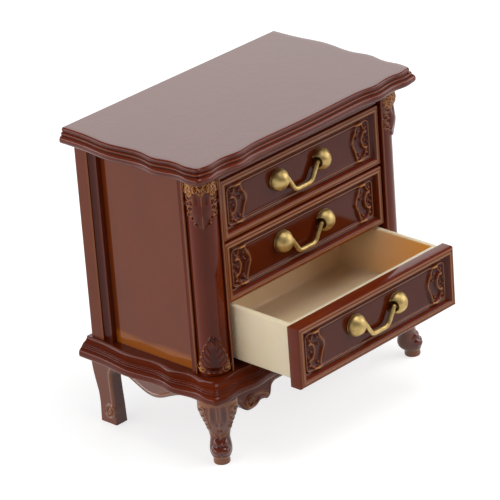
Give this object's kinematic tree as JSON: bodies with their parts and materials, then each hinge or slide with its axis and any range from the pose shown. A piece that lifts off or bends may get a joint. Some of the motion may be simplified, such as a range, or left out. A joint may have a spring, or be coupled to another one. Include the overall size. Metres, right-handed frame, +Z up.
{
  "type": "miniature chest of drawers",
  "caption": "Dolls house chest of drawers with a serpentine moulded top, canted carved corner posts, sliding drawers with swinging bail handles, and cabriole legs.",
  "frame": {"origin": "on the floor, at the middle of the box round the chest with its bottom drawer pulled out as in the picture", "axes": "+X to the right seen from the front, -Y out of the front, +Z up"},
  "size_m": [0.0828, 0.0682, 0.08],
  "materials": {
    "case_brown": "glossy moulded brown with an amber tinge",
    "tray_ivory": "satin moulded ivory",
    "handle_gold": "satin gold"
  },
  "bodies": {
    "case": {"top_board": "case_brown", "top_rail": "case_brown", "side_panel_left": "case_brown", "side_panel_right": "case_brown", "rear_post_left": "case_brown", "rear_post_right": "case_brown", "front_post_left": "case_brown", "front_post_right": "case_brown", "back_panel": "case_brown", "drawer_guide_left": "case_brown", "drawer_guide_right": "case_brown", "dust_board_upper": "case_brown", "dust_board_lower": "case_brown", "bottom_board": "case_brown", "base_board": "case_brown", "apron_front": "case_brown", "apron_left": "case_brown", "apron_right": "case_brown", "apron_rear": "case_brown", "front_leg_left": "case_brown", "front_leg_right": "case_brown", "rear_leg_left": "case_brown", "rear_leg_right": "case_brown"},
    "drawer_top": {"drawer_front_top": "case_brown", "drawer_tray_top": "tray_ivory", "boss_top_left": "handle_gold", "boss_top_right": "handle_gold"},
    "bail_top": {"bail_top": "handle_gold"},
    "drawer_middle": {"drawer_front_middle": "case_brown", "drawer_tray_middle": "tray_ivory", "boss_middle_left": "handle_gold", "boss_middle_right": "handle_gold"},
    "bail_middle": {"bail_middle": "handle_gold"},
    "drawer_bottom": {"drawer_front_bottom": "case_brown", "drawer_tray_bottom": "tray_ivory", "boss_bottom_left": "handle_gold", "boss_bottom_right": "handle_gold"},
    "bail_bottom": {"bail_bottom": "handle_gold"}
  },
  "joints": [
    {"name": "slide_top", "type": "slide", "parent": "case", "child": "drawer_top", "axis": [0, -1, 0], "range_m": [0, 0.03]},
    {"name": "swing_top", "type": "hinge", "parent": "drawer_top", "child": "bail_top", "pos_m": [0, -0.00942, 0.0653], "axis": [-1, 0, 0], "range_deg": [0, 90]},
    {"name": "slide_middle", "type": "slide", "parent": "case", "child": "drawer_middle", "axis": [0, -1, 0], "range_m": [0, 0.03]},
    {"name": "swing_middle", "type": "hinge", "parent": "drawer_middle", "child": "bail_middle", "pos_m": [0, -0.00942, 0.0487], "axis": [-1, 0, 0], "range_deg": [0, 90]},
    {"name": "slide_bottom", "type": "slide", "parent": "case", "child": "drawer_bottom", "axis": [0, -1, 0], "range_m": [-0.0228, 0.0072]},
    {"name": "swing_bottom", "type": "hinge", "parent": "drawer_bottom", "child": "bail_bottom", "pos_m": [0, -0.03222, 0.0321], "axis": [-1, 0, 0], "range_deg": [0, 90]}
  ]
}
